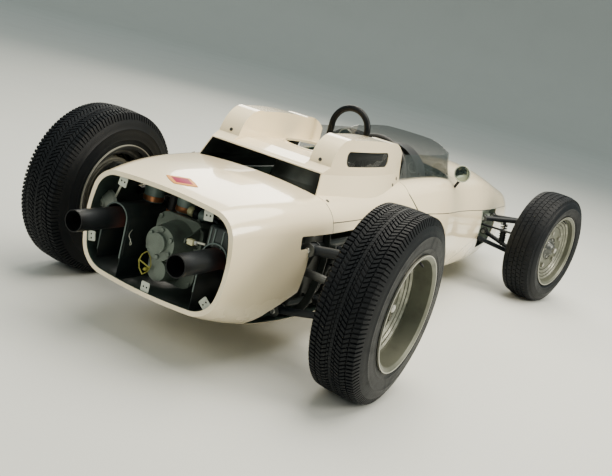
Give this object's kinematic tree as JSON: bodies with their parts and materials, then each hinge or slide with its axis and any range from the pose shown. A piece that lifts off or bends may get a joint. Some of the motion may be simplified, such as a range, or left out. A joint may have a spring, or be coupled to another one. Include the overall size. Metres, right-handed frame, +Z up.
{
  "type": "open wheel racing car",
  "caption": "Cream open wheel racing car of the late fifties with a rear engine, open cockpit, smoky wraparound screen, black roll hoop, humped engine deck and deep steel wheels.",
  "frame": {"origin": "on the ground under the middle of the car's length and width", "axes": "+X forward to the nose, +Y to the driver's left, +Z up"},
  "size_m": [3.67, 1.6574, 0.8879],
  "materials": {
    "body_paint": "gloss cream white paint",
    "black_paint": "gloss black paint",
    "frame_paint": "satin grey green paint",
    "dark_steel": "satin black steel",
    "mesh_metal": "dark woven mesh",
    "tab_metal": "pale painted plate",
    "tyre_rubber": "matt black rubber",
    "rim_metal": "olive grey painted rim with a bright lip",
    "drum_metal": "cast, satin",
    "engine_cast": "cast, matt",
    "fan_metal": "cast, satin",
    "gearbox_cast": "grey green casting",
    "pipe_steel": "dark steel with rust",
    "perspex": "smoky clear sheet",
    "seat_shell": "satin sheet",
    "seat_leather": "soft black",
    "grip_black": "black grip on a bright hub",
    "dash_black": "satin black",
    "mirror_case": "bright case",
    "cooler_metal": "dark finned core",
    "can_paint": "grey green paint"
  },
  "bodies": {
    "chassis": {"tail_shell": "body_paint", "tail_tabs": "tab_metal", "engine_deck": "body_paint", "deck_grilles": "mesh_metal", "upper_body": "body_paint", "side_panels": "body_paint", "belly_pan": "body_paint", "frame": "frame_paint", "engine_block": "engine_cast", "fan_housing": "fan_metal", "gearbox": "gearbox_cast", "exhausts": "pipe_steel", "rear_carriers": "drum_metal", "rear_arms": "dark_steel", "steering_box": "dark_steel", "front_arms_left": "dark_steel", "front_arms_right": "dark_steel", "dampers": "dark_steel", "roll_hoop": "black_paint", "windscreen": "perspex", "seat": "seat_shell", "seat_pad": "seat_leather", "dashboard": "dash_black", "mirrors": "mirror_case", "oil_cooler": "cooler_metal", "heat_shrouds": "dark_steel", "canisters": "can_paint"},
    "wheel_front_left": {"tyre_front_left": "tyre_rubber", "rim_front_left": "rim_metal", "drum_front_left": "drum_metal"},
    "wheel_rear_left": {"tyre_rear_left": "tyre_rubber", "rim_rear_left": "rim_metal", "drum_rear_left": "drum_metal", "driveshaft_left": "dark_steel"},
    "steering_knuckle_left": {"knuckle_left": "dark_steel"},
    "tie_rod_left": {"tie_rod_left": "dark_steel"},
    "wheel_front_right": {"tyre_front_right": "tyre_rubber", "rim_front_right": "rim_metal", "drum_front_right": "drum_metal"},
    "wheel_rear_right": {"tyre_rear_right": "tyre_rubber", "rim_rear_right": "rim_metal", "drum_rear_right": "drum_metal", "driveshaft_right": "dark_steel"},
    "steering_knuckle_right": {"knuckle_right": "dark_steel"},
    "tie_rod_right": {"tie_rod_right": "dark_steel"},
    "drop_arm": {"drop_arm": "dark_steel"},
    "steering_wheel": {"steering_wheel": "grip_black"},
    "cooling_fan": {"cooling_fan": "fan_metal"}
  },
  "joints": [
    {"name": "steer_right", "type": "hinge", "parent": "chassis", "child": "steering_knuckle_right", "pos_m": [1.087, -0.6015, 0.32], "axis": [0, 0, 1], "range_deg": [-12.4, 35.6]},
    {"name": "steer_left", "type": "hinge", "parent": "chassis", "child": "steering_knuckle_left", "pos_m": [1.087, 0.6015, 0.32], "axis": [0, 0, 1], "range_deg": [-12.4, 35.6]},
    {"name": "drop_arm_turn", "type": "hinge", "parent": "chassis", "child": "drop_arm", "pos_m": [1.087, 0, 0.3543], "axis": [0, 0, 1], "range_deg": [-12.4, 35.6]},
    {"name": "tie_rod_left_pivot", "type": "hinge", "parent": "steering_knuckle_left", "child": "tie_rod_left", "pos_m": [0.94006, 0.63166, 0.3543], "axis": [0, 0, 1], "range_deg": [-35.6, 12.4]},
    {"name": "tie_rod_right_pivot", "type": "hinge", "parent": "steering_knuckle_right", "child": "tie_rod_right", "pos_m": [0.94006, -0.57134, 0.3543], "axis": [0, 0, 1], "range_deg": [-35.6, 12.4]},
    {"name": "steering_wheel_turn", "type": "hinge", "parent": "chassis", "child": "steering_wheel", "pos_m": [-0.12, 0, 0.585], "axis": [-0.9898, 0, 0.1424], "range_deg": [-99.2, 284.8]},
    {"name": "spin_front_left", "type": "hinge", "parent": "steering_knuckle_left", "child": "wheel_front_left", "pos_m": [1.1029, 0.6789, 0.32], "axis": [0.2011, 0.9796, 0], "continuous": true},
    {"name": "spin_front_right", "type": "hinge", "parent": "steering_knuckle_right", "child": "wheel_front_right", "pos_m": [1.0711, -0.6789, 0.32], "axis": [0.2011, 0.9796, 0], "continuous": true},
    {"name": "spin_rear_left", "type": "hinge", "parent": "chassis", "child": "wheel_rear_left", "pos_m": [-1.245, 0.64, 0.335], "axis": [0, 1, 0], "continuous": true},
    {"name": "spin_rear_right", "type": "hinge", "parent": "chassis", "child": "wheel_rear_right", "pos_m": [-1.245, -0.64, 0.335], "axis": [0, 1, 0], "continuous": true},
    {"name": "fan_spin", "type": "hinge", "parent": "chassis", "child": "cooling_fan", "pos_m": [-0.715, 0, 0.6], "axis": [0, 0, 1], "continuous": true}
  ],
  "couplings": [
    {"joint": "steer_left", "follows": "steer_right", "ratio": 1},
    {"joint": "drop_arm_turn", "follows": "steer_right", "ratio": 1},
    {"joint": "tie_rod_left_pivot", "follows": "steer_right", "ratio": -1},
    {"joint": "tie_rod_right_pivot", "follows": "steer_right", "ratio": -1},
    {"joint": "steering_wheel_turn", "follows": "steer_right", "ratio": 8}
  ]
}
